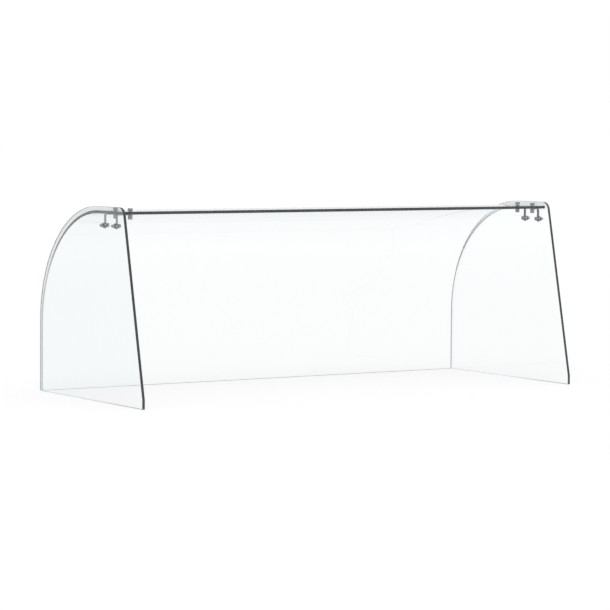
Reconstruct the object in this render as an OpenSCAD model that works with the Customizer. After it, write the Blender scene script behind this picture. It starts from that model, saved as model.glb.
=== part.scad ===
// Curved-glass sneeze guard for a buffet or preparation counter.
// Two upright side panels carry one bent sheet between them, held by two screwed
// clamps at each end. +X runs along the counter, +Y points to the customers and
// +Z is up. The origin is on the counter, under the middle of the guard.

/* [Overall] */
// Length over the two side panels
guard_length = 1085; // [700:5:1500]
// Depth from the staff's side to the customers' side
guard_depth = 440; // [430:5:520]
// Height of the side panels
guard_height = 400; // [380:5:480]
// Thickness of every glass sheet
glass_t = 6; // [5:0.5:8]

/* [Side panels] */
// Radius of the curved shoulder on the customers' side
shoulder_r = 250; // [200:5:250]
// Height of the upright stretch at the foot of the rear edge
foot_rise = 19; // [10:1:40]
// How far the rear edge leans in by the top
rear_lean = 83; // [60:1:84]
// Radius of the rear top corner
rear_corner_r = 20; // [10:1:30]

/* [Bent glass] */
// Distance of its near edge from the rear foot of the side panels
lip_y = 89; // [85:1:94]
// Drop of its top face below the top of the side panels
top_drop = 8.5; // [6:0.5:12]
// Gap between each end and the side panel
end_gap = 1; // [0.5:0.5:2]

/* [Clamps] */
// Distance of the top screws from the outer face of the side panel
top_screw_x = 30; // [26:1:45]
// Distance of the rear top screw from the rear foot
rear_screw_y = 105; // [103:1:120]
// Distance of the front top screw from the rear foot
front_screw_y = 159; // [148:1:172]
// How far the rear side screw stands ahead of its top screw
rear_shift = 8; // [0:1:9]
// How far the front side screw stands ahead of its top screw
front_shift = 2; // [0:1:9]
// Drop of the side screws below the top of the side panels
side_screw_drop = 38; // [34:1:50]
// Turns that each thumb nut and thumb screw is backed off, from 0 when tight
turns_open = 0; // [0:0.25:5]

/* [Hidden] */
$fn = 96;
eps = 0.01;
SIDES = ["left", "right"];
ROWS = ["rear", "front"];
CLAMP_PARTS = [
    "top_screw", "top_bush", "under_pad", "bracket", "top_washer", "thumb_nut",
    "cap_nut", "side_bush", "side_pad", "side_washer", "thumb_screw"
];

// Thread: M4 with its standard pitch, and holes that clear it
thread_r = 2;
thread_pitch = 0.7;
nut_bore_r = 2.06;
washer_bore_r = 2.09;
clear_r = 2.15;
back_off = turns_open * thread_pitch;

// Glass holes and the clear plastic bushes in them
glass_hole_r = 4;
bush_r = 3.9;
flange_r = 5.5;
top_flange_t = 2;
side_flange_t = 1;
pad_t = 0.5;
side_pad_r = 3.5;

// Bracket strip
strip_w = 7;
strip_t = 1.5;
strip_bend_r = 3;
strip_stub = 3;
strip_tail = 7;
eye_r = 5.5;

// Washers, screws and nuts
washer_r = 4.5;
washer_t = 0.8;
disc_head_r = 5.2;
disc_head_t = 4.5;
head_chamfer = 0.8;
socket_r = 1.73;
socket_depth = 2.2;
thumb_nut_r = 4.7;
thumb_nut_t = 7.5;
thumb_head_r = 4.3;
thumb_head_t = 6;
blind_floor = 1.5;
tip_gap = 0.5;
cap_hex_r = 4.04;
cap_hex_t = 3.2;
cap_dome_r = 3.25;
cap_nut_t = 8.5;

// Positions in the frame of the left side panel: x from its outer face, y from
// the rear foot, z from the counter
glass_top = guard_height - top_drop;
glass_under = glass_top - glass_t;
strip_top = glass_under - pad_t;
strip_under = strip_top - strip_t;
nut_face = strip_under - washer_t;
strip_x = glass_t + pad_t;
screw_face = strip_x + strip_t + washer_t;
side_screw_z = guard_height - side_screw_drop;
shoulder_y = guard_depth - shoulder_r;
lean_angle = atan(rear_lean / (guard_height - foot_rise));
corner_tangent = rear_corner_r * tan((90 - lean_angle) / 2);

function screw_y(row) = row == "rear" ? rear_screw_y : front_screw_y;
function shift(row) = row == "rear" ? rear_shift : front_shift;
function side_y(row) = screw_y(row) + shift(row);

// Everything at one end is drawn at the left and mirrored for the right
module at_end(side) {
    mirror([side == "right" ? 1 : 0, 0, 0])
        translate([-guard_length / 2, -guard_depth / 2, 0]) children();
}

// Upright axis of a top screw
module at_top_screw(row, z) {
    translate([top_screw_x, screw_y(row), z]) children();
}

// Axis of a side screw, turned so that its own +Z points into the guard
module at_side_screw(row, x) {
    translate([x, side_y(row), side_screw_z]) rotate([0, 90, 0]) children();
}

module ring(outer_r, inner_r, t) {
    difference() {
        cylinder(r = outer_r, h = t);
        translate([0, 0, -eps]) cylinder(r = inner_r, h = t + 2 * eps);
    }
}

// Round bar with chamfered rims at both ends
module chamfered_bar(r, t, c) {
    rotate_extrude()
        polygon([[0, 0], [r - c, 0], [r, c], [r, t - c], [r - c, t], [0, t]]);
}

// Slice of a ring about +Z, from +X round by an angle
module sector(outer_r, inner_r, angle, t) {
    rotate_extrude(angle = angle)
        translate([inner_r, 0]) square([outer_r - inner_r, t]);
}

// Side panel lying flat: a straight-edged sheet, its rounded rear top corner and
// its curved shoulder
module side_blank() {
    slope = [sin(lean_angle), cos(lean_angle)];
    corner = [rear_lean, guard_height];
    corner_centre = [rear_lean + corner_tangent, guard_height - rear_corner_r];
    shoulder_centre = [shoulder_y, guard_height - shoulder_r];
    linear_extrude(glass_t)
        polygon([
            [0, 0],
            [0, foot_rise],
            corner - corner_tangent * slope,
            corner_centre,
            [corner_centre.x, guard_height],
            [shoulder_y, guard_height],
            shoulder_centre,
            [guard_depth, shoulder_centre.y],
            [guard_depth, 0]
        ]);
    translate(corner_centre)
        rotate([0, 0, 90]) sector(rear_corner_r, 0, 90 - lean_angle, glass_t);
    translate(shoulder_centre) sector(shoulder_r, 0, 90, glass_t);
}

module side_glass(side) {
    color([0.80, 0.92, 0.90, 0.35])
        at_end(side)
        difference() {
            rotate([90, 0, 90]) union() side_blank();
            for (row = ROWS)
                at_side_screw(row, -1) cylinder(r = glass_hole_r, h = glass_t + 2);
        }
}

module bent_glass() {
    sheet_length = guard_length - 2 * (glass_t + end_gap);
    bend_z = glass_top - shoulder_r;
    color([0.80, 0.92, 0.90, 0.35])
        difference() {
            translate([-sheet_length / 2, -guard_depth / 2, 0]) {
                translate([0, guard_depth - glass_t, 0]) cube([sheet_length, glass_t, bend_z]);
                translate([0, shoulder_y, bend_z])
                    rotate([90, 0, 90]) sector(shoulder_r, shoulder_r - glass_t, 90, sheet_length);
                translate([0, lip_y, glass_under])
                    cube([sheet_length, shoulder_y - lip_y, glass_t]);
            }
            for (side = SIDES, row = ROWS)
                at_end(side) at_top_screw(row, glass_under - 1)
                    cylinder(r = glass_hole_r, h = glass_t + 2);
        }
}

// Disc-headed screw that hangs through the bent sheet
module top_screw(side, row) {
    tip_z = nut_face - thumb_nut_t + blind_floor + tip_gap;
    head_z = glass_top + top_flange_t;
    color([0.78, 0.79, 0.80])
        at_end(side) {
            difference() {
                at_top_screw(row, head_z)
                    chamfered_bar(disc_head_r, disc_head_t, head_chamfer);
                at_top_screw(row, head_z + disc_head_t - socket_depth)
                    cylinder(r = socket_r, h = socket_depth + 1, $fn = 6);
            }
            at_top_screw(row, tip_z) cylinder(r = thread_r, h = head_z - tip_z);
        }
}

// Clear bush: a flange under the screw head and a sleeve in the glass hole
module top_bush(side, row) {
    color([0.90, 0.93, 0.92])
        at_end(side) {
            at_top_screw(row, glass_top) ring(flange_r, clear_r, top_flange_t);
            at_top_screw(row, glass_under) ring(bush_r, clear_r, glass_t);
        }
}

module under_pad(side, row) {
    color([0.90, 0.93, 0.92])
        at_end(side) at_top_screw(row, strip_top) ring(flange_r, clear_r, pad_t);
}

// Angled strip: an eye under the bent sheet, an arm out to the side panel, a
// bend, and a leg that runs down the panel past the side screw
module bracket(side, row) {
    bend_x = strip_x + strip_bend_r;
    bend_z = strip_top - strip_bend_r;
    arm_x = bend_x + strip_stub;
    arm_end = [top_screw_x - arm_x, -shift(row)];
    half = [0, strip_w / 2];
    stub_end = [-strip_stub, 0];
    leg_end_z = side_screw_z - strip_tail + strip_w / 2;
    color([0.72, 0.73, 0.74])
        at_end(side)
        difference() {
            union() {
                at_top_screw(row, strip_under) cylinder(r = eye_r, h = strip_t);
                translate([arm_x, side_y(row), strip_under])
                    linear_extrude(strip_t)
                    polygon([
                        stub_end - half, -half, arm_end - half,
                        arm_end + half, half, stub_end + half
                    ]);
                translate([bend_x, side_y(row) + strip_w / 2, bend_z])
                    rotate([90, -90, 0])
                    sector(strip_bend_r, strip_bend_r - strip_t, 90, strip_w);
                translate([strip_x, side_y(row) - strip_w / 2, leg_end_z])
                    cube([strip_t, strip_w, bend_z - leg_end_z]);
                translate([strip_x, side_y(row), leg_end_z])
                    rotate([0, 90, 0]) rotate([0, 0, -90])
                    sector(strip_w / 2, 0, 180, strip_t);
            }
            at_top_screw(row, strip_under - 1) cylinder(r = clear_r, h = strip_t + 2);
            at_side_screw(row, strip_x - 1) cylinder(r = clear_r, h = strip_t + 2);
        }
}

module top_washer(side, row) {
    color([0.75, 0.76, 0.77])
        at_end(side) at_top_screw(row, nut_face - back_off)
        ring(washer_r, washer_bore_r, washer_t);
}

// Closed thumb nut under the bracket
module thumb_nut(side, row) {
    color([0.76, 0.77, 0.78])
        at_end(side) at_top_screw(row, nut_face - thumb_nut_t - back_off)
        difference() {
            chamfered_bar(thumb_nut_r, thumb_nut_t, head_chamfer);
            translate([0, 0, blind_floor]) cylinder(r = nut_bore_r, h = thumb_nut_t);
        }
}

// Domed hex nut outside the side panel
module cap_nut(side, row) {
    color([0.76, 0.77, 0.78])
        at_end(side) at_side_screw(row, -side_flange_t - cap_nut_t)
        difference() {
            union() {
                translate([0, 0, cap_nut_t - cap_hex_t])
                    cylinder(r = cap_hex_r, h = cap_hex_t, $fn = 6);
                translate([0, 0, cap_dome_r])
                    cylinder(r = cap_dome_r, h = cap_nut_t - cap_dome_r - eps);
                translate([0, 0, cap_dome_r]) sphere(r = cap_dome_r);
            }
            translate([0, 0, blind_floor]) cylinder(r = nut_bore_r, h = cap_nut_t);
        }
}

// Clear bush in the side panel, with its flange outside
module side_bush(side, row) {
    color([0.90, 0.93, 0.92])
        at_end(side) {
            at_side_screw(row, -side_flange_t) ring(flange_r, clear_r, side_flange_t);
            at_side_screw(row, 0) ring(bush_r, clear_r, glass_t);
        }
}

module side_pad(side, row) {
    color([0.90, 0.93, 0.92])
        at_end(side) at_side_screw(row, glass_t) ring(side_pad_r, clear_r, pad_t);
}

module side_washer(side, row) {
    color([0.75, 0.76, 0.77])
        at_end(side) at_side_screw(row, strip_x + strip_t + back_off)
        ring(washer_r, washer_bore_r, washer_t);
}

// Thumb screw inside the guard, running through the panel into the cap nut
module thumb_screw(side, row) {
    tip_x = blind_floor + tip_gap - side_flange_t - cap_nut_t;
    color([0.76, 0.77, 0.78])
        at_end(side) translate([back_off, 0, 0]) {
            at_side_screw(row, screw_face)
                chamfered_bar(thumb_head_r, thumb_head_t, head_chamfer);
            at_side_screw(row, tip_x) cylinder(r = thread_r, h = screw_face - tip_x);
        }
}

bent_glass();
for (side = SIDES) {
    side_glass(side);
    for (row = ROWS) {
        end = str("_", side, "_", row);
        top_screw(side, row);
        top_bush(side, row);
        under_pad(side, row);
        bracket(side, row);
        top_washer(side, row);
        thumb_nut(side, row);
        cap_nut(side, row);
        side_bush(side, row);
        side_pad(side, row);
        side_washer(side, row);
        thumb_screw(side, row);
    }
}
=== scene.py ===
"""Looks of the sneeze guard: three glass sheets, four screwed clamps, a white studio."""

import math

import bmesh
import bpy
from mathutils import Matrix, Vector
from mathutils.geometry import tessellate_polygon


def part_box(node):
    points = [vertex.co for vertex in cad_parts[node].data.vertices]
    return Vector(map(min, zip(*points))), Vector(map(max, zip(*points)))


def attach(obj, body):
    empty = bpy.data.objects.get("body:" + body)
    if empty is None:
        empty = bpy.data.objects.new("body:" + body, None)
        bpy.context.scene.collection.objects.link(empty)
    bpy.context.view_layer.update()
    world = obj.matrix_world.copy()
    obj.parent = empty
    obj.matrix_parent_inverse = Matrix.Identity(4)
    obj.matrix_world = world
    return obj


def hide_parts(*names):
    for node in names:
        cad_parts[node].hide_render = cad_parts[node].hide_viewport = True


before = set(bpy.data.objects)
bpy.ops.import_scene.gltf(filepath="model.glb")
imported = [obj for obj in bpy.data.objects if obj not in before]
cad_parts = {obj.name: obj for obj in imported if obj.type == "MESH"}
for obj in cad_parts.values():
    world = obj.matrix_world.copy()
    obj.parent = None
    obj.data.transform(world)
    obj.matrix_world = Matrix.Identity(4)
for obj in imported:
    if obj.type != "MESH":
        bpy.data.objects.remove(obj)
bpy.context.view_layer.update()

SIDES = ("left", "right")
ROWS = ("rear", "front")
MM = 0.001

# Sheets: the shapes that a box can't give
GLASS_T = 6 * MM
SHOULDER_R = 250 * MM
FOOT_RISE = 19 * MM
REAR_LEAN = 83 * MM
REAR_CORNER_R = 20 * MM
GLASS_HOLE_R = 4 * MM
GLASS_ARRIS = 0.5 * MM

# Clamps
THREAD_R = 2.0 * MM
THREAD_ROOT_R = 1.68 * MM
THREAD_PITCH = 0.7 * MM
BORE_R = 2.06 * MM
WASHER_BORE_R = 2.09 * MM
CLEAR_R = 2.15 * MM
STRIP_W = 7 * MM
STRIP_T = 1.5 * MM
STRIP_BEND_R = 3 * MM
STRIP_STUB = 3 * MM
STRIP_ARRIS = 0.25 * MM
EYE_R = 5.5 * MM
HEAD_T = 4.5 * MM
THUMB_HEAD_T = 6 * MM
BLIND_FLOOR = 1.5 * MM
HEX_FLAT = 3.49 * MM
HEX_T = 3.2 * MM
WASHER_PLAY = 0.02 * MM
DOME_R = 3.25 * MM
BUSH_R = 3.9 * MM
FLANGE_R = 5.5 * MM
FLANGE_ARRIS = 0.35 * MM
TOP_FLANGE_T = 2 * MM
SIDE_FLANGE_T = 1 * MM
UNDER_PAD_R = 5.5 * MM
SIDE_PAD_R = 3.5 * MM
PAD_ARRIS = 0.12 * MM
WASHER_R = 4.5 * MM
WASHER_ARRIS = 0.18 * MM
SOCKET_FLAT = 1.5 * MM
SOCKET_DEPTH = 2.1 * MM
TIP_R = 1.2 * MM
TIP_CHAMFER = 0.45 * MM

TURNED_STEPS = 72
SHARP = math.radians(24)


# ---------------------------------------------------------------- mesh helpers


def finish_mesh(name, bm, materials, body, replaced):
    """Turns a bmesh into a piece that rides on a body and stands for a CAD node."""
    bmesh.ops.recalc_face_normals(bm, faces=bm.faces)
    mesh = bpy.data.meshes.new(name)
    bm.to_mesh(mesh)
    bm.free()
    mesh.shade_smooth()
    mesh.set_sharp_from_angle(angle=SHARP)
    piece = bpy.data.objects.new(name, mesh)
    bpy.context.scene.collection.objects.link(piece)
    for material in materials:
        mesh.materials.append(material)
    weighted = piece.modifiers.new("even_shading", "WEIGHTED_NORMAL")
    weighted.keep_sharp = True
    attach(piece, body)
    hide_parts(replaced)
    return piece


def arc(centre, radius, start, end, steps):
    """Points round a circle, both ends included, angles in degrees."""
    out = []
    for i in range(steps + 1):
        a = math.radians(start + (end - start) * i / steps)
        out.append((centre[0] + radius * math.cos(a), centre[1] + radius * math.sin(a)))
    return out


def hole_loop(centre, radius, steps=48):
    return arc(centre, radius, 0, -360, steps)[:-1]


def inset(loop, by):
    """Moves each corner of a closed loop to its left, by the same distance from both edges."""
    out = []
    for i, (x, y) in enumerate(loop):
        before, after = Vector(loop[i - 1]), Vector(loop[(i + 1) % len(loop)])
        here = Vector((x, y))
        d1, d2 = (here - before).normalized(), (after - here).normalized()
        n1, n2 = Vector((-d1.y, d1.x)), Vector((-d2.y, d2.x))
        move = (n1 + n2) * (by / (1 + n1.dot(n2)))
        out.append((x + move.x, y + move.y))
    return out


def sheet(outline, holes, cuts, thickness, arris, place, rim_finish=None):
    """A sheet of even thickness with bevelled rims, drawn flat as (u, v) and put in place
    by place(u, v, w). Faces get material 0 and rims material 1, or what rim_finish says for
    the outline's corner where a rim starts."""
    bm = bmesh.new()
    levels = ((True, 0), (False, arris), (False, thickness - arris), (True, thickness))
    rings = []
    for loop in [outline] + holes:
        inner = inset(loop, arris)
        rings.append([
            [bm.verts.new(place(u, v, w)) for u, v in (inner if rim else loop)]
            for rim, w in levels
        ])
    for ring in rings:
        count = len(ring[0])
        for low, high in zip(ring, ring[1:]):
            for i in range(count):
                j = (i + 1) % count
                face = bm.faces.new((low[i], low[j], high[j], high[i]))
                face.material_index = rim_finish(i) if rim_finish and ring is rings[0] else 1
    for low_u, high_u in zip(cuts, cuts[1:]):
        inside = [i for i, (u, _) in enumerate(outline) if low_u - 1e-7 <= u <= high_u + 1e-7]
        loops = [(0, inside)]
        for k, loop in enumerate(holes):
            if low_u < sum(u for u, _ in loop) / len(loop) < high_u:
                loops.append((k + 1, list(range(len(loop)))))
        shapes = [outline] + holes
        flat = [[Vector((*shapes[k][i], 0)) for i in members] for k, members in loops]
        owners = [(k, i) for k, members in loops for i in members]
        if len(loops) == 1 and len(inside) == 4:
            corners = [(0, 1, 2, 3)]
        else:
            corners = tessellate_polygon(flat)
        for level in (0, 3):
            for corner in corners:
                bm.faces.new([rings[owners[c][0]][level][owners[c][1]] for c in corner])
    return bm


def turned(rings, steps=TURNED_STEPS, closed=False):
    """Joins rings of points about +Z. A ring is (radius, z) or a function that gives both
    for a step; a radius of 0 is a pole. closed joins the last ring to the first."""
    bm = bmesh.new()
    made = []
    for ring in rings:
        at = ring if callable(ring) else (lambda i, ring=ring: ring)
        if not callable(ring) and ring[0] == 0:
            made.append([bm.verts.new((0, 0, ring[1]))])
            continue
        row = []
        for i in range(steps):
            r, z = at(i)
            a = 2 * math.pi * i / steps
            row.append(bm.verts.new((r * math.cos(a), r * math.sin(a), z)))
        made.append(row)
    pairs = list(zip(made, made[1:]))
    if closed:
        pairs.append((made[-1], made[0]))
    for low, high in pairs:
        for i in range(steps):
            j = (i + 1) % steps
            if len(low) == 1:
                bm.faces.new((low[0], high[i], high[j]))
            elif len(high) == 1:
                bm.faces.new((low[i], low[j], high[0]))
            else:
                bm.faces.new((low[i], low[j], high[j], high[i]))
    return bm


def rounded(corners, radius, steps=4):
    """A profile with its corners rounded: a list of (r, z, True where it is rounded)."""
    out = []
    for i, (r, z, soft) in enumerate(corners):
        if not soft:
            out.append((r, z))
            continue
        here = Vector((r, z))
        before = Vector(corners[i - 1][:2]) - here
        after = Vector(corners[(i + 1) % len(corners)][:2]) - here
        half = before.angle(after) / 2
        back = min(radius / math.tan(half), before.length * 0.49, after.length * 0.49)
        start, end = here + before.normalized() * back, here + after.normalized() * back
        for s in range(steps + 1):
            t = s / steps
            p = start * (1 - t) ** 2 + here * 2 * t * (1 - t) + end * t * t
            out.append((p.x, p.y))
    return out


def knurl(radius, z, depth):
    """A ring with a tooth on every second step."""
    return lambda i: (radius - depth * (i % 2), z)


def hexagon(flat, height):
    """A six-sided ring whose height follows from its radius."""
    def at(i):
        off = (i * 360 / TURNED_STEPS) % 60 - 30
        r = flat / math.cos(math.radians(off))
        return r, height(r)
    return at


def thread(start, end):
    """Rings of a right-hand helical thread from one z to another."""
    per_pitch = 6
    count = max(2, round((end - start) / THREAD_PITCH * per_pitch))
    out = []
    for k in range(count + 1):
        z = start + (end - start) * k / count
        ease = min(1, k / per_pitch, (count - k) / per_pitch)

        def at(i, z=z, ease=ease):
            phase = (z / THREAD_PITCH - i / TURNED_STEPS) % 1
            crest = min(1, 1.15 * (1 - abs(2 * phase - 1)))
            top = THREAD_ROOT_R + (THREAD_R - THREAD_ROOT_R) * ease
            return THREAD_ROOT_R + (top - THREAD_ROOT_R) * crest, z
        out.append(at)
    return out


def axis_matrix(centre, inward=None):
    """A frame whose +Z is up, or points along X into the guard when inward is 1 or -1."""
    turn = Matrix.Identity(4)
    if inward is not None:
        turn = Matrix.Rotation(math.radians(90 * inward), 4, "Y")
    return Matrix.Translation(centre) @ turn


def put(name, bm, material, body, matrix):
    """Makes a turned part with its own axis, so that its finish runs round it."""
    piece = finish_mesh(name + "_look", bm, [material], body, name)
    piece.matrix_world = matrix
    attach(piece, body)
    return piece


# ---------------------------------------------------------------- materials


# Most of a noise lies in this band, so colour ramps and ranges run over it
BAND = (0.3, 0.7)


def new_material(name):
    material = bpy.data.materials.new(name)
    material.use_nodes = True
    nodes, links = material.node_tree.nodes, material.node_tree.links
    shader = next(n for n in nodes if n.type == "BSDF_PRINCIPLED")
    return material, nodes, links, shader


def stretched_noise(nodes, links, scale, detail=4.0, roughness=0.6):
    """A noise on object coordinates that is stretched by a scale for each axis."""
    coords = nodes.new("ShaderNodeTexCoord")
    mapping = nodes.new("ShaderNodeMapping")
    mapping.inputs["Scale"].default_value = scale
    noise = nodes.new("ShaderNodeTexNoise")
    noise.inputs["Scale"].default_value = 1.0
    noise.inputs["Detail"].default_value = detail
    noise.inputs["Roughness"].default_value = roughness
    links.new(coords.outputs["Object"], mapping.inputs["Vector"])
    links.new(mapping.outputs["Vector"], noise.inputs["Vector"])
    return noise.outputs["Fac"]


def ranged(nodes, links, value, low, high, from_low=BAND[0], from_high=BAND[1]):
    node = nodes.new("ShaderNodeMapRange")
    node.inputs["From Min"].default_value = from_low
    node.inputs["From Max"].default_value = from_high
    node.inputs["To Min"].default_value = low
    node.inputs["To Max"].default_value = high
    links.new(value, node.inputs["Value"])
    return node.outputs["Result"]


def two_colours(nodes, links, value, dark, light):
    ramp = nodes.new("ShaderNodeValToRGB")
    ramp.color_ramp.elements[0].position = BAND[0]
    ramp.color_ramp.elements[0].color = (*dark, 1)
    ramp.color_ramp.elements[1].position = BAND[1]
    ramp.color_ramp.elements[1].color = (*light, 1)
    links.new(value, ramp.inputs["Fac"])
    return ramp.outputs["Color"]


def bumped(nodes, links, shader, height, distance, strength=1.0):
    bump = nodes.new("ShaderNodeBump")
    bump.inputs["Strength"].default_value = strength
    bump.inputs["Distance"].default_value = distance
    links.new(height, bump.inputs["Height"])
    links.new(bump.outputs["Normal"], shader.inputs["Normal"])


# Absorption inside the glass: its colour, and its density per metre
GLASS_TINT = (0.58, 0.80, 0.86, 1)
GLASS_DENSITY = 10.0
GLASS_IOR = 1.52
PLASTIC_IOR = 1.49

# The bent sheet's bend, and how the painted shade on its ends fades from pale (low) to dark
# (high)
bend_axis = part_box("bent_glass")[1] - Vector((0, SHOULDER_R, SHOULDER_R))
END_FADE = (230 * MM, 350 * MM)
END_LIFT = 45 * MM
END_BLUR = 0.6 * MM
# Where the painted grey shade along the side panels' border starts, and how soft its edge is
BORDER_FOOT = 1.5 * MM
BORDER_BLUR = 0.2 * MM

# Colours of the painted shade that the edges and the border fade between
PALE = (0.97, 0.99, 0.99)
# Dark ends of the painted shade: on the bent sheet's ends, then on the side panels' edges
END_EDGE_SHADE = (0.015, 0.02, 0.019)
SIDE_EDGE_SHADE = (0.035, 0.046, 0.043)
# Grey of the painted shade along the side panels' border
BORDER_SHADE = (0.74, 0.755, 0.755)

# Where along Y the painted shade on the side panels' edges goes from dark to pale
SIDE_EDGE_FADE = (-121 * MM, 0)


def from_bend(nodes, links, axis):
    """How far a point is from the bend's axis, or from the flats' planes through it."""
    coords = nodes.new("ShaderNodeTexCoord")
    spoke = coords.outputs["Object"]
    for operation, by in (("SUBTRACT", axis), ("MAXIMUM", (0, 0, 0)), ("MULTIPLY", (0, 1, 1))):
        step = nodes.new("ShaderNodeVectorMath")
        step.operation = operation
        links.new(spoke, step.inputs[0])
        step.inputs[1].default_value = by
        spoke = step.outputs[0]
    length = nodes.new("ShaderNodeVectorMath")
    length.operation = "LENGTH"
    links.new(spoke, length.inputs[0])
    return length.outputs["Value"]


def end_painted_shade(nodes, links):
    """The bent sheet's ground ends, with painted shade in their colour: dark along the top,
    pale down the front, and pale sooner on their outer half."""
    coords = nodes.new("ShaderNodeTexCoord")
    split = nodes.new("ShaderNodeSeparateXYZ")
    links.new(coords.outputs["Object"], split.inputs["Vector"])
    reach = from_bend(nodes, links, bend_axis)
    middle = SHOULDER_R - GLASS_T / 2
    lift = ranged(nodes, links, reach, 0, END_LIFT, middle - END_BLUR, middle + END_BLUR)
    lowered = nodes.new("ShaderNodeMath")
    lowered.operation = "SUBTRACT"
    links.new(split.outputs["Z"], lowered.inputs[0])
    links.new(lift, lowered.inputs[1])
    height = ranged(nodes, links, lowered.outputs[0], *BAND, *END_FADE)
    return two_colours(nodes, links, height, PALE, END_EDGE_SHADE)


def side_edge_painted_shade(nodes, links):
    """The side panels' ground top, front and bottom edges, with painted shade in their colour:
    dark at the rear corner, where they meet the rear edge's own glass, and paler further on."""
    coords = nodes.new("ShaderNodeTexCoord")
    split = nodes.new("ShaderNodeSeparateXYZ")
    links.new(coords.outputs["Object"], split.inputs["Vector"])
    along = ranged(nodes, links, split.outputs["Y"], *BAND, *SIDE_EDGE_FADE)
    # Real grinding streaks, mixed into the painted shade
    streaks = ranged(nodes, links, stretched_noise(nodes, links, (900, 60, 60)), -0.03, 0.03)
    mottled = nodes.new("ShaderNodeMath")
    mottled.operation = "ADD"
    links.new(along, mottled.inputs[0])
    links.new(streaks, mottled.inputs[1])
    return two_colours(nodes, links, mottled.outputs[0], SIDE_EDGE_SHADE, PALE)


def border_painted_shade(nodes, links):
    """Clear side panels with a painted grey shade along the border outside the bent sheet."""
    reach = from_bend(nodes, links, bend_axis - Vector((0, BORDER_FOOT, 0)))
    outside = ranged(
        nodes, links, reach, *BAND, SHOULDER_R - BORDER_BLUR, SHOULDER_R + BORDER_BLUR
    )
    return two_colours(nodes, links, outside, (1, 1, 1), BORDER_SHADE)


def glass_material(
    name, colour, clear, rough_low, rough_high, streak_scale, wave_height, pattern=None
):
    """Glass with faint smears. A pattern gives the base colour in place of the plain one."""
    material, nodes, links, shader = new_material(name)
    shader.inputs["Base Color"].default_value = (*colour, 1)
    shader.inputs["Transmission Weight"].default_value = clear
    shader.inputs["IOR"].default_value = GLASS_IOR
    smear = stretched_noise(nodes, links, streak_scale)
    if pattern:
        links.new(pattern(nodes, links), shader.inputs["Base Color"])
    links.new(ranged(nodes, links, smear, rough_low, rough_high), shader.inputs["Roughness"])
    bumped(nodes, links, shader, smear, wave_height)
    absorb = nodes.new("ShaderNodeVolumeAbsorption")
    absorb.inputs["Color"].default_value = GLASS_TINT
    absorb.inputs["Density"].default_value = GLASS_DENSITY
    out = next(n for n in nodes if n.type == "OUTPUT_MATERIAL")
    links.new(absorb.outputs["Volume"], out.inputs["Volume"])
    return material


def steel_material(name, dark, light, rough_low, rough_high, grain_scale, grain_height):
    material, nodes, links, shader = new_material(name)
    shader.inputs["Metallic"].default_value = 1.0
    grain = stretched_noise(nodes, links, grain_scale)
    cloud = stretched_noise(nodes, links, (180, 180, 180), detail=2.0)
    links.new(two_colours(nodes, links, cloud, dark, light), shader.inputs["Base Color"])
    links.new(ranged(nodes, links, grain, rough_low, rough_high), shader.inputs["Roughness"])
    bumped(nodes, links, shader, grain, grain_height)
    return material


def turned_steel_material(name, dark, light, rough_low, rough_high):
    """Steel with the fine rings that a lathe leaves round the part's own axis."""
    material, nodes, links, shader = new_material(name)
    shader.inputs["Metallic"].default_value = 1.0
    coords = nodes.new("ShaderNodeTexCoord")
    rings = nodes.new("ShaderNodeTexWave")
    rings.wave_type = "RINGS"
    rings.rings_direction = "Z"
    rings.inputs["Scale"].default_value = 900.0
    rings.inputs["Distortion"].default_value = 0.6
    links.new(coords.outputs["Object"], rings.inputs["Vector"])
    cloud = stretched_noise(nodes, links, (260, 260, 260), detail=3.0)
    links.new(two_colours(nodes, links, cloud, dark, light), shader.inputs["Base Color"])
    links.new(ranged(nodes, links, cloud, rough_low, rough_high), shader.inputs["Roughness"])
    bumped(nodes, links, shader, rings.outputs["Fac"], 0.004 * MM)
    return material


def plastic_material(name):
    material, nodes, links, shader = new_material(name)
    shader.inputs["Transmission Weight"].default_value = 0.85
    shader.inputs["IOR"].default_value = PLASTIC_IOR
    cloud = stretched_noise(nodes, links, (320, 320, 320), detail=3.0)
    links.new(
        two_colours(nodes, links, cloud, (0.82, 0.86, 0.86), (0.93, 0.95, 0.95)),
        shader.inputs["Base Color"],
    )
    links.new(ranged(nodes, links, cloud, 0.12, 0.28), shader.inputs["Roughness"])
    return material


# How the marks of wiping and of grinding are stretched
SMEARS = (9, 14, 5)
GRIND = (600, 40, 40)

face_glass = glass_material(
    "glass_face", (1, 1, 1), 1.0, 0.0, 0.012, SMEARS, 0.01 * MM
)
edge_glass = glass_material(
    "glass_edge", (0.36, 0.42, 0.40), 0.92, 0.25, 0.31, GRIND, 0.004 * MM
)
# Painted shade on the bent sheet's ends: dark along the top, pale down the front
end_glass = glass_material(
    "glass_end", (1, 1, 1), 0.1, 0.3, 0.5, GRIND, 0.01 * MM, end_painted_shade
)
# Painted grey shade along the side panels' border
side_face_glass = glass_material(
    "glass_side_face", (1, 1, 1), 1.0, 0.0, 0.012, SMEARS, 0.01 * MM, border_painted_shade
)
# Painted shade on the side panels' top, front and bottom edges, with real grinding streaks
side_edge_glass = glass_material(
    "glass_side_edge", (1, 1, 1), 0.45, 0.25, 0.31, GRIND, 0.004 * MM, side_edge_painted_shade
)
brushed = steel_material(
    "brushed_steel", (0.17, 0.178, 0.182), (0.26, 0.268, 0.272), 0.24, 0.42,
    (90, 9000, 90), 0.01 * MM,
)
worn_edge = steel_material(
    "brushed_steel_edge", (0.30, 0.31, 0.315), (0.42, 0.43, 0.435), 0.12, 0.25,
    (400, 400, 400), 0.004 * MM,
)
polished = turned_steel_material(
    "turned_steel", (0.25, 0.258, 0.262), (0.37, 0.378, 0.382), 0.12, 0.26
)
washer_steel = turned_steel_material(
    "washer_steel", (0.23, 0.238, 0.242), (0.33, 0.338, 0.342), 0.22, 0.36
)
clear_plastic = plastic_material("clear_plastic")


# ---------------------------------------------------------------- glass sheets


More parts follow.
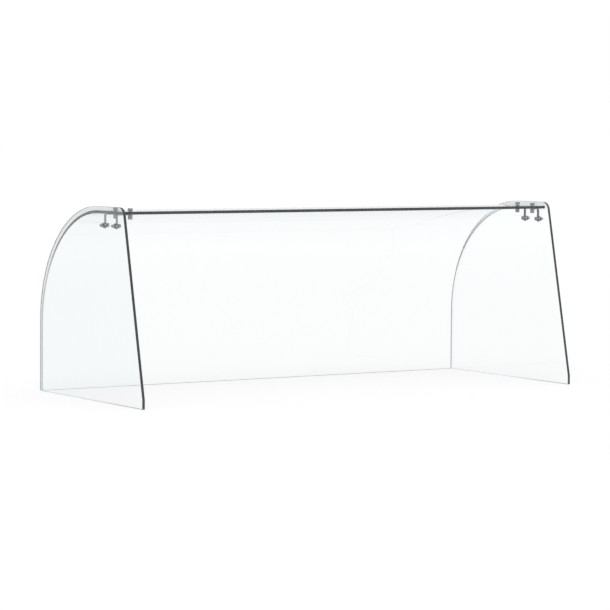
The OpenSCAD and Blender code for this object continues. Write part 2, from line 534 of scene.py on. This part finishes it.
def side_glass(side):
    name = f"side_glass_{side}"
    low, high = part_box(name)
    depth, height = high.y - low.y, high.z - low.z
    shoulder = (depth - SHOULDER_R, height - SHOULDER_R)
    lean = math.degrees(math.atan(REAR_LEAN / (height - FOOT_RISE)))
    tangent = REAR_CORNER_R * math.tan(math.radians(90 - lean) / 2)
    corner = (REAR_LEAN + tangent, height - REAR_CORNER_R)
    outline = [(0, 0), (depth, 0)] + arc(shoulder, SHOULDER_R, 0, 90, 90)
    rear_start = len(outline)
    outline += arc(corner, REAR_CORNER_R, 90, 180 - lean, 20) + [(0, FOOT_RISE)]
    holes = []
    for row in ROWS:
        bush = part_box(f"side_bush_{side}_{row}")
        centre = (bush[0] + bush[1]) / 2
        holes.append(hole_loop((centre.y - low.y, centre.z), GLASS_HOLE_R))
    bm = sheet(
        outline, holes, (0, depth), high.x - low.x, GLASS_ARRIS,
        lambda u, v, w: Vector((low.x + w, low.y + u, low.z + v)),
        lambda i: 1 if i >= rear_start else 2,
    )
    return finish_mesh(
        name + "_look", bm, [side_face_glass, edge_glass, side_edge_glass], "frame", name
    )


def bent_glass():
    low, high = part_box("bent_glass")
    bend_y, bend_z = high.y - SHOULDER_R, high.z - SHOULDER_R
    flat = bend_y - low.y
    around = SHOULDER_R * math.pi / 2
    steps = 90
    stations = [0] + [flat + around * i / steps for i in range(steps + 1)]
    stations.append(flat + around + bend_z - low.z)

    def place(u, v, w):
        if u <= flat:
            return Vector((v, low.y + u, high.z - w))
        if u >= flat + around:
            return Vector((v, high.y - w, bend_z - (u - flat - around)))
        a = (u - flat) / SHOULDER_R
        r = SHOULDER_R - w
        return Vector((v, bend_y + r * math.sin(a), bend_z + r * math.cos(a)))

    outline = [(u, low.x) for u in stations] + [(u, high.x) for u in reversed(stations)]
    holes = []
    for side in SIDES:
        for row in ROWS:
            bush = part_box(f"top_bush_{side}_{row}")
            centre = (bush[0] + bush[1]) / 2
            holes.append(hole_loop((centre.y - low.y, centre.x), GLASS_HOLE_R))
    last = len(stations) - 1
    bm = sheet(
        outline, holes, stations, GLASS_T, GLASS_ARRIS, place,
        lambda i: 1 if i in (last, 2 * last + 1) else 2,
    )
    return finish_mesh(
        "bent_glass_look", bm, [face_glass, edge_glass, end_glass], "frame", "bent_glass"
    )


# ---------------------------------------------------------------- clamps


def bracket(side, row):
    """The angled strip, drawn flat from the end of its leg to its eye and then bent."""
    name = f"bracket_{side}_{row}"
    low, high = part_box(name)
    mirror = 1 if side == "left" else -1
    panel_x = low.x if side == "left" else high.x
    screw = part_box(f"top_screw_{side}_{row}")
    eye_at = (screw[0] + screw[1]) / 2
    side_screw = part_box(f"cap_nut_{side}_{row}")
    leg_at = (side_screw[0] + side_screw[1]) / 2
    half = STRIP_W / 2
    bend_z = high.z - STRIP_BEND_R
    around = STRIP_BEND_R * math.pi / 2
    leg_u = -around - (bend_z - low.z) + half
    hole_u = -around - (bend_z - leg_at.z)
    eye_u = abs(eye_at.x - panel_x) - STRIP_BEND_R
    eye_v = eye_at.y - leg_at.y
    stations = [-around * i / 10 for i in range(10, -1, -1)]

    # Where the arm's edges run into the eye
    def meets(sign):
        start, end = Vector((STRIP_STUB, sign * half)), Vector((eye_u, eye_v + sign * half))
        along = (end - start).normalized()
        out = start - Vector((eye_u, eye_v))
        b = out.dot(along)
        t = -b - math.sqrt(b * b - out.dot(out) + EYE_R * EYE_R)
        p = start + along * t
        return p, math.degrees(math.atan2(p.y - eye_v, p.x - eye_u))

    (_, from_angle), (_, to_angle) = meets(-1), meets(1)
    from_angle -= 360 if from_angle > 0 else 0
    to_angle += 360 if to_angle < 0 else 0
    outline = arc((leg_u, 0), half, 90, 270, 24)
    outline += [(u, -half) for u in stations] + [(STRIP_STUB, -half)]
    outline += arc((eye_u, eye_v), EYE_R, from_angle, to_angle, 48)
    outline += [(STRIP_STUB, half)] + [(u, half) for u in reversed(stations)]
    holes = [hole_loop((hole_u, 0), CLEAR_R), hole_loop((eye_u, eye_v), CLEAR_R)]

    def place(u, v, w):
        if u >= 0:
            x, z = STRIP_BEND_R + u, high.z - w
        elif u <= -around:
            x, z = w, bend_z + (u + around)
        else:
            a = -u / STRIP_BEND_R
            r = STRIP_BEND_R - w
            x, z = STRIP_BEND_R - r * math.sin(a), bend_z + r * math.cos(a)
        return Vector((panel_x + mirror * x, leg_at.y + v, z))

    cuts = [-1] + stations + [1]
    bm = sheet(outline, holes, cuts, STRIP_T, STRIP_ARRIS, place)
    return finish_mesh(name + "_look", bm, [brushed, worn_edge], "frame", name)


def washer(name, body, material, outer, bore, matrix, thickness, edge):
    low, high = WASHER_PLAY, thickness - WASHER_PLAY
    profile = rounded(
        [(bore, low, False), (outer, low, True), (outer, high, True), (bore, high, False)],
        edge, 2,
    )
    return put(name, turned(profile, closed=True), material, body, matrix)


def flanged_bush(name, matrix, flange_t, sleeve_t):
    """A clear bush: the flange is below z 0 and the sleeve above it."""
    profile = rounded(
        [
            (CLEAR_R, -flange_t, False), (FLANGE_R, -flange_t, True), (FLANGE_R, 0, True),
            (BUSH_R, 0, False), (BUSH_R, sleeve_t, True), (CLEAR_R, sleeve_t, False),
        ],
        FLANGE_ARRIS, 3,
    )
    return put(
        name, turned(profile, closed=True), clear_plastic, "frame", matrix
    )


def disc_screw(side, row):
    """Disc-headed screw with a hex socket: head up, thread down."""
    name = f"top_screw_{side}_{row}"
    low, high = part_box(name)
    r = (high.x - low.x) / 2
    length = high.z - low.z
    head = length - HEAD_T
    rings = [(0, 0), (TIP_R, 0)] + thread(TIP_CHAMFER, head)
    rings += rounded(
        [
            (THREAD_ROOT_R, head, False), (r, head, True), (r, length, True),
            (2.0 * MM, length, False),
        ],
        0.75 * MM, 5,
    )[1:]
    rings += [
        hexagon(SOCKET_FLAT, lambda _: length - 0.25 * MM),
        hexagon(SOCKET_FLAT, lambda _: length - SOCKET_DEPTH),
        (0, length - SOCKET_DEPTH - 0.1 * MM),
    ]
    centre = Vector(((low.x + high.x) / 2, (low.y + high.y) / 2, low.z))
    return put(name, turned(rings), polished, "frame", axis_matrix(centre))


def knurled_side(r, low, high, depth=0.2 * MM, run_out=0.3 * MM):
    """Rings of a straight-knurled band between two heights."""
    return [
        (r - depth, low), knurl(r, low + run_out, depth), knurl(r, high - run_out, depth),
        (r - depth, high),
    ]


def blind_bore(face):
    """Rings of a chamfered bore from a nut's open face down to its closed end."""
    return [
        (BORE_R + 0.3 * MM, face), (BORE_R, face - 0.3 * MM),
        (BORE_R, BLIND_FLOOR + 0.4 * MM), (0, BLIND_FLOOR),
    ]


def thumb_nut(side, row):
    """Closed knurled nut: end cap at z 0, open face at the top."""
    name = f"thumb_nut_{side}_{row}"
    low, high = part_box(name)
    r, t = (high.x - low.x) / 2, high.z - low.z
    cap_r = r - 0.25 * MM
    rings = [(0, 0)] + rounded(
        [(0.4 * MM, 0, False), (cap_r, 0, True), (cap_r, 1.3 * MM, False)], 0.7 * MM, 5
    )
    rings += [(r - 0.6 * MM, 1.45 * MM), (r - 0.6 * MM, 1.75 * MM)]
    rings += knurled_side(r, 1.9 * MM, t - 0.9 * MM)
    rings += [(r - 0.5 * MM, t - 0.7 * MM), (r - 0.5 * MM, t - 0.15 * MM), (r - 0.65 * MM, t)]
    rings += blind_bore(t)
    centre = Vector(((low.x + high.x) / 2, (low.y + high.y) / 2, low.z))
    return put(
        name, turned(rings), polished, f"nut_{side}_{row}", axis_matrix(centre)
    )


def thumb_screw(side, row):
    """Knurled thumb screw: thread towards -z, head above z 0."""
    name = f"thumb_screw_{side}_{row}"
    low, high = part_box(name)
    inward = 1 if side == "left" else -1
    r, length = (high.z - low.z) / 2, high.x - low.x
    t = THUMB_HEAD_T
    rings = [(0, t - length), (TIP_R, t - length)] + thread(t - length + TIP_CHAMFER, 0)
    rings += [(r - 0.65 * MM, 0), (r - 0.5 * MM, 0.15 * MM), (r - 0.5 * MM, 0.7 * MM)]
    rings += knurled_side(r, 0.9 * MM, t - 1.7 * MM)
    rings += [(r - 0.6 * MM, t - 1.55 * MM), (r - 0.6 * MM, t - 1.3 * MM)]
    cap_r = r - 0.25 * MM
    rings += rounded(
        [(cap_r, t - 1.15 * MM, False), (cap_r, t, True), (1.6 * MM, t, False)], 0.7 * MM, 5
    )
    rings += [(1.35 * MM, t - 0.25 * MM), (0, t - 0.25 * MM)]
    head_x = low.x if side == "right" else high.x
    centre = Vector((head_x - inward * t, (low.y + high.y) / 2, (low.z + high.z) / 2))
    matrix = axis_matrix(centre, inward)
    return put(name, turned(rings), polished, f"screw_{side}_{row}", matrix)


def cap_nut(side, row):
    """Domed hex nut: dome at z 0, open face inwards."""
    name = f"cap_nut_{side}_{row}"
    low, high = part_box(name)
    inward = 1 if side == "left" else -1
    t = high.x - low.x
    foot = t - HEX_T
    rings = [(0, 0)]
    for r, z in arc((0, DOME_R), DOME_R, -90, 0, 14)[1:]:
        rings.append((r, z))
    rings += [(DOME_R, foot - 0.15 * MM), (DOME_R + 0.12 * MM, foot)]
    rings += [hexagon(HEX_FLAT, lambda r: foot + (r - DOME_R - 0.12 * MM) * 0.55)]
    rings += [hexagon(HEX_FLAT, lambda r: t - (r - HEX_FLAT + 0.08 * MM) * 0.45)]
    rings += [(HEX_FLAT - 0.1 * MM, t)] + blind_bore(t)
    outer_x = low.x if side == "left" else high.x
    centre = Vector((outer_x, (low.y + high.y) / 2, (low.z + high.z) / 2))
    matrix = axis_matrix(centre, inward)
    return put(name, turned(rings), polished, "frame", matrix)


def clamp(side, row):
    end = f"{side}_{row}"
    inward = 1 if side == "left" else -1

    def foot_of(node):
        low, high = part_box(node)
        return Vector(((low.x + high.x) / 2, (low.y + high.y) / 2, low.z)), high.z - low.z

    def outer_of(node):
        low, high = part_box(node)
        x = low.x if side == "left" else high.x
        return Vector((x, (low.y + high.y) / 2, (low.z + high.z) / 2)), high.x - low.x

    disc_screw(side, row)
    thumb_nut(side, row)
    thumb_screw(side, row)
    cap_nut(side, row)
    bracket(side, row)

    foot, tall = foot_of(f"top_bush_{end}")
    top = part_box(f"top_bush_{end}")[1].z
    flange_foot = Matrix.Translation((foot.x, foot.y, top - TOP_FLANGE_T))
    down = flange_foot @ Matrix.Rotation(math.pi, 4, "X")
    flanged_bush(f"top_bush_{end}", down, TOP_FLANGE_T, tall - TOP_FLANGE_T)
    outer, wide = outer_of(f"side_bush_{end}")
    face = axis_matrix(outer + Vector((inward * SIDE_FLANGE_T, 0, 0)), inward)
    flanged_bush(f"side_bush_{end}", face, SIDE_FLANGE_T, wide - SIDE_FLANGE_T)

    foot, tall = foot_of(f"under_pad_{end}")
    washer(f"under_pad_{end}", "frame", clear_plastic, UNDER_PAD_R,
           CLEAR_R, axis_matrix(foot), tall, PAD_ARRIS)
    outer, wide = outer_of(f"side_pad_{end}")
    washer(f"side_pad_{end}", "frame", clear_plastic, SIDE_PAD_R,
           CLEAR_R, axis_matrix(outer, inward), wide, PAD_ARRIS)
    foot, tall = foot_of(f"top_washer_{end}")
    washer(f"top_washer_{end}", f"nut_washer_{end}", washer_steel, WASHER_R,
           WASHER_BORE_R, axis_matrix(foot), tall, WASHER_ARRIS)
    outer, wide = outer_of(f"side_washer_{end}")
    washer(f"side_washer_{end}", f"screw_washer_{end}", washer_steel, WASHER_R,
           WASHER_BORE_R, axis_matrix(outer, inward), wide, WASHER_ARRIS)


bent_glass()
for side in SIDES:
    side_glass(side)
    for row in ROWS:
        clamp(side, row)


# ---------------------------------------------------------------- studio


# The floor is a light table; mirror finishes see it, like the room, darker than the eye does
FLOOR_GLOW = 0.84
FLOOR_GLOW_FAR = 0.88
FLOOR_MIRRORED_SHARE = 0.88
FLOOR_R = 40
FLOOR_DROP = 0.2 * MM
FLOOR_FADE = (0.8, 8)

# The room: how bright its white is, and what mirror finishes see at each height
WHITE_STRENGTH = 1.005
ROOM_GREYS = ((0.12, 0.93), (0.25, 0.80), (0.50, 0.72), (0.70, 1.0))
ROOM_BLUENESS = 1.02


def only_mirrored(nodes, links):
    """1 for a ray that was mirrored on its way, 0 for one that was not."""
    path = nodes.new("ShaderNodeLightPath")
    mirrored = nodes.new("ShaderNodeMath")
    mirrored.operation = "MINIMUM"
    links.new(path.outputs["Glossy Depth"], mirrored.inputs[0])
    mirrored.inputs[1].default_value = 1.0
    return mirrored.outputs[0]


def floor():
    bm = bmesh.new()
    bmesh.ops.create_circle(bm, cap_ends=True, radius=FLOOR_R, segments=96)
    mesh = bpy.data.meshes.new("studio_floor")
    bm.to_mesh(mesh)
    bm.free()
    piece = bpy.data.objects.new("studio_floor", mesh)
    bpy.context.scene.collection.objects.link(piece)
    piece.location.z = -FLOOR_DROP
    material, nodes, links, shader = new_material("studio_floor")
    shader.inputs["Base Color"].default_value = (0.15, 0.15, 0.15, 1)
    shader.inputs["Roughness"].default_value = 0.9
    shader.inputs["Specular IOR Level"].default_value = 0.0
    shader.inputs["Emission Color"].default_value = (1, 1, 1, 1)
    coords = nodes.new("ShaderNodeTexCoord")
    distance = nodes.new("ShaderNodeVectorMath")
    distance.operation = "LENGTH"
    links.new(coords.outputs["Object"], distance.inputs[0])
    glow = ranged(
        nodes, links, distance.outputs["Value"], FLOOR_GLOW, FLOOR_GLOW_FAR, *FLOOR_FADE
    )
    dimmer = ranged(nodes, links, only_mirrored(nodes, links), 1, FLOOR_MIRRORED_SHARE, 0, 1)
    product = nodes.new("ShaderNodeMath")
    product.operation = "MULTIPLY"
    links.new(glow, product.inputs[0])
    links.new(dimmer, product.inputs[1])
    links.new(product.outputs[0], shader.inputs["Emission Strength"])
    mesh.materials.append(material)


def softbox(name, location, target, size, power):
    light = bpy.data.lights.new(name, "AREA")
    light.shape = "RECTANGLE"
    light.size, light.size_y = size
    light.energy = power
    lamp = bpy.data.objects.new(name, light)
    bpy.context.scene.collection.objects.link(lamp)
    aim = Vector(target) - Vector(location)
    turn = aim.to_track_quat("-Z", "Y").to_matrix().to_4x4()
    lamp.matrix_world = Matrix.Translation(location) @ turn
    lamp.visible_camera = False


def studio_world():
    """White all round, with a darker room and a bright ceiling that only mirror finishes see."""
    world = bpy.data.worlds.new("studio")
    bpy.context.scene.world = world
    world.use_nodes = True
    nodes, links = world.node_tree.nodes, world.node_tree.links
    nodes.clear()
    white = nodes.new("ShaderNodeBackground")
    white.inputs["Color"].default_value = (1, 1, 1, 1)
    white.inputs["Strength"].default_value = WHITE_STRENGTH
    room = nodes.new("ShaderNodeBackground")
    coords = nodes.new("ShaderNodeTexCoord")
    split = nodes.new("ShaderNodeSeparateXYZ")
    links.new(coords.outputs["Generated"], split.inputs["Vector"])
    ramp = nodes.new("ShaderNodeValToRGB")
    stops = ramp.color_ramp.elements
    stops[0].position, stops[0].color = 0.0, (0.95, 0.95, 0.95, 1)
    stops[1].position, stops[1].color = 1.0, (1.0, 1.0, 1.0, 1)
    for height, grey in ROOM_GREYS:
        stop = stops.new(height)
        stop.color = (grey, grey, grey * ROOM_BLUENESS, 1)
    links.new(split.outputs["Z"], ramp.inputs["Fac"])
    links.new(ramp.outputs["Color"], room.inputs["Color"])
    room.inputs["Strength"].default_value = 1.0
    mix = nodes.new("ShaderNodeMixShader")
    links.new(only_mirrored(nodes, links), mix.inputs["Fac"])
    links.new(white.outputs[0], mix.inputs[1])
    links.new(room.outputs[0], mix.inputs[2])
    out = nodes.new("ShaderNodeOutputWorld")
    links.new(mix.outputs[0], out.inputs["Surface"])


# From a perspective fit to the photo's edges, the lens then lengthened by 0.2 percent
CAMERA_AT = (-3.21005, -4.90807, 0.58156)
CAMERA_YAW, CAMERA_PITCH, CAMERA_ROLL = 33.0678, 3.92876, 0.42794
CAMERA_LENS = 160.29


def camera():
    yaw, pitch, roll = (math.radians(a) for a in (CAMERA_YAW, CAMERA_PITCH, CAMERA_ROLL))
    forward = Vector((
        math.sin(yaw) * math.cos(pitch), math.cos(yaw) * math.cos(pitch), -math.sin(pitch)
    ))
    level = Vector((math.cos(yaw), -math.sin(yaw), 0))
    over = level.cross(forward)
    right = level * math.cos(roll) + over * math.sin(roll)
    up = over * math.cos(roll) - level * math.sin(roll)
    data = bpy.data.cameras.new("camera")
    data.sensor_width = 36
    data.lens = CAMERA_LENS
    data.clip_end = 200
    lens = bpy.data.objects.new("camera", data)
    bpy.context.scene.collection.objects.link(lens)
    turn = Matrix((right, up, -forward)).transposed()
    lens.matrix_world = Matrix.Translation(CAMERA_AT) @ turn.to_4x4()
    bpy.context.scene.camera = lens


floor()
studio_world()
softbox("key", (-1.6, -2.2, 2.6), (0, 0, 0.2), (1.8, 1.2), 20)
softbox("fill", (2.4, -1.2, 1.8), (0, 0, 0.3), (1.2, 1.2), 8)
camera()
bpy.context.scene.view_settings.view_transform = "Standard"
